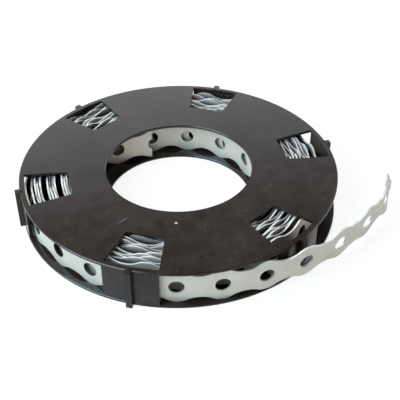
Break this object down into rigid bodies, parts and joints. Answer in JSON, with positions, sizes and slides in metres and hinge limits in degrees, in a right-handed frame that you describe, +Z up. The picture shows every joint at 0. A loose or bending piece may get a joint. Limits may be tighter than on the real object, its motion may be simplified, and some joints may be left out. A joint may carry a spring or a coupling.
{
  "type": "roll of perforated steel strap in a dispenser",
  "caption": "Roll of wavy-edged perforated steel fixing strap, wound in a flat black two-piece ring dispenser with windows, its free end led out of the side.",
  "frame": {"origin": "on the dispenser's axis at the lower plate's outer face", "axes": "+Z up along the bore's axis, +X through the middle of a window, towards the strap's free end"},
  "size_m": [0.1771, 0.155, 0.0216],
  "materials": {
    "plastic": "satin moulded black",
    "steel": "galvanised"
  },
  "bodies": {
    "root": {"upper_shell": "plastic", "lower_shell": "plastic", "strap": "steel"}
  },
  "joints": []
}
